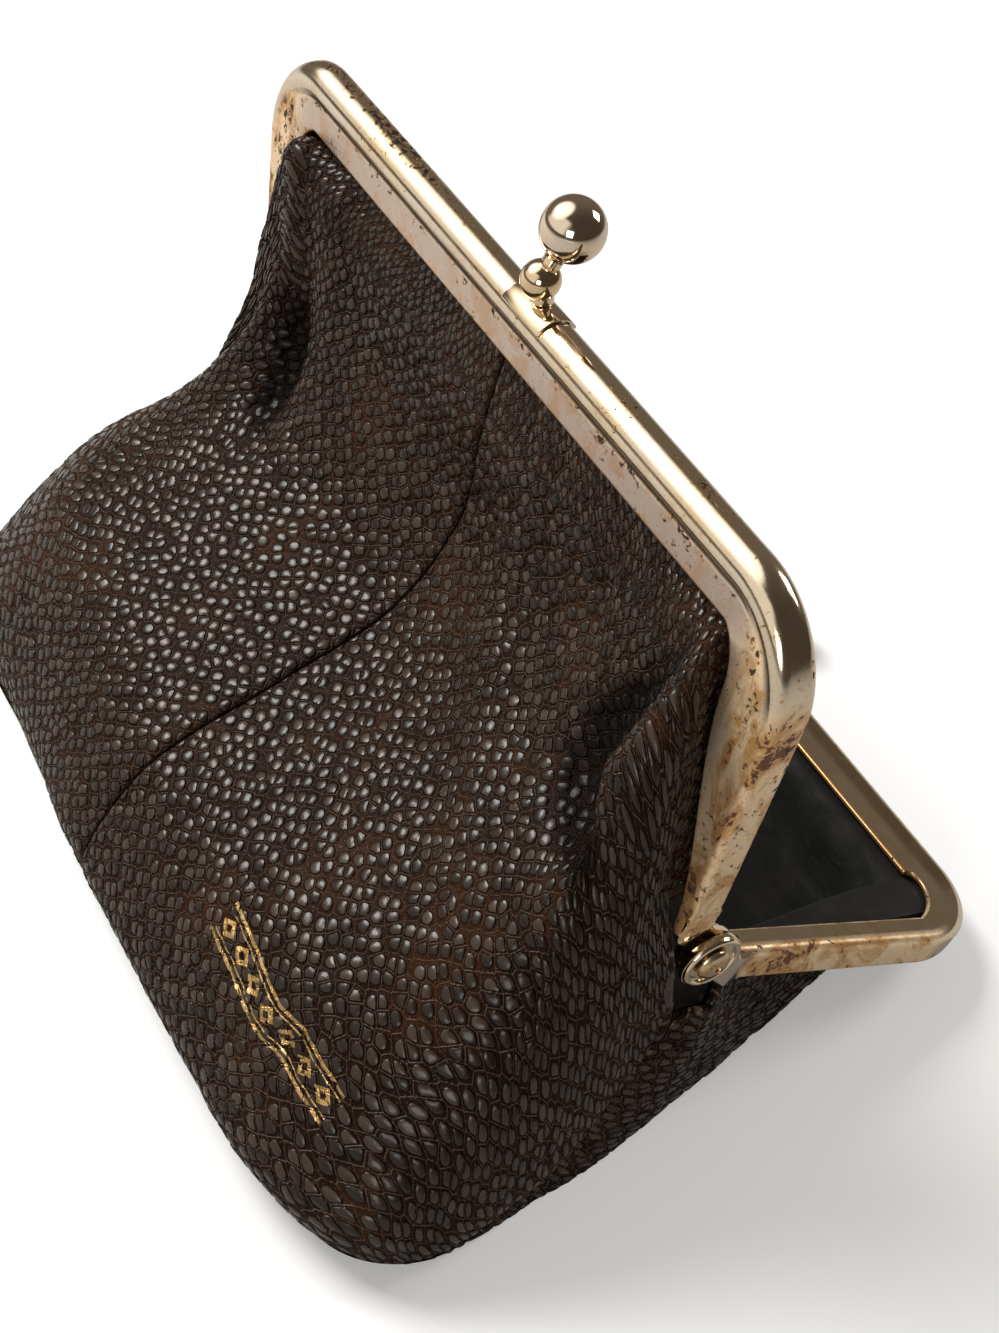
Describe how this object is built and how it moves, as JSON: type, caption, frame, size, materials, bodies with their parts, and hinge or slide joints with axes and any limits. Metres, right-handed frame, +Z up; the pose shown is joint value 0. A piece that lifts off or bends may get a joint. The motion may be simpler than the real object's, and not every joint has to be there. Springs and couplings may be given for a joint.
{
  "type": "kiss lock coin purse",
  "caption": "Soft leather coin purse gathered into a pressed metal frame that hinges at both ends and snaps shut with a pair of balls.",
  "frame": {"origin": "middle of the model's box, on the surface that the purse lies on", "axes": "+X along the hinge line, +Y from the bag towards the rear bar, +Z up"},
  "size_m": [0.1011, 0.0924, 0.0755],
  "materials": {
    "frame_metal": "worn pale gold plating, pitted on the leather side",
    "clasp_metal": "polished gold plating",
    "hinge_metal": "worn gold plating, tarnished in the joints",
    "leather": "glossy scale-embossed dark brown leather",
    "lining": "matt black lining",
    "filler_cord": "twisted paper cord"
  },
  "bodies": {
    "rear_half": {"rear_frame": "frame_metal", "rear_clasp_ball": "clasp_metal", "rear_clasp_post": "clasp_metal", "rear_clasp_saddle": "clasp_metal", "rear_filler_cord": "filler_cord", "left_hinge_rivet": "hinge_metal", "right_hinge_rivet": "hinge_metal", "left_hinge_washer": "hinge_metal", "right_hinge_washer": "hinge_metal", "front_panel_left": "leather", "front_panel_right": "leather", "rear_panel_left": "leather", "rear_panel_right": "leather", "front_lining": "lining", "rear_lining": "lining"},
    "front_half": {"front_frame": "frame_metal", "front_clasp_ball": "clasp_metal", "front_clasp_post": "clasp_metal", "front_clasp_saddle": "clasp_metal", "front_filler_cord": "filler_cord"}
  },
  "joints": [
    {"name": "frame_hinge", "type": "hinge", "parent": "rear_half", "child": "front_half", "pos_m": [0, -0.00409, 0.02163], "axis": [1, 0, 0], "range_deg": [-110.6, 25], "deforming": ["front_panel_left", "front_panel_right", "front_lining"]}
  ]
}
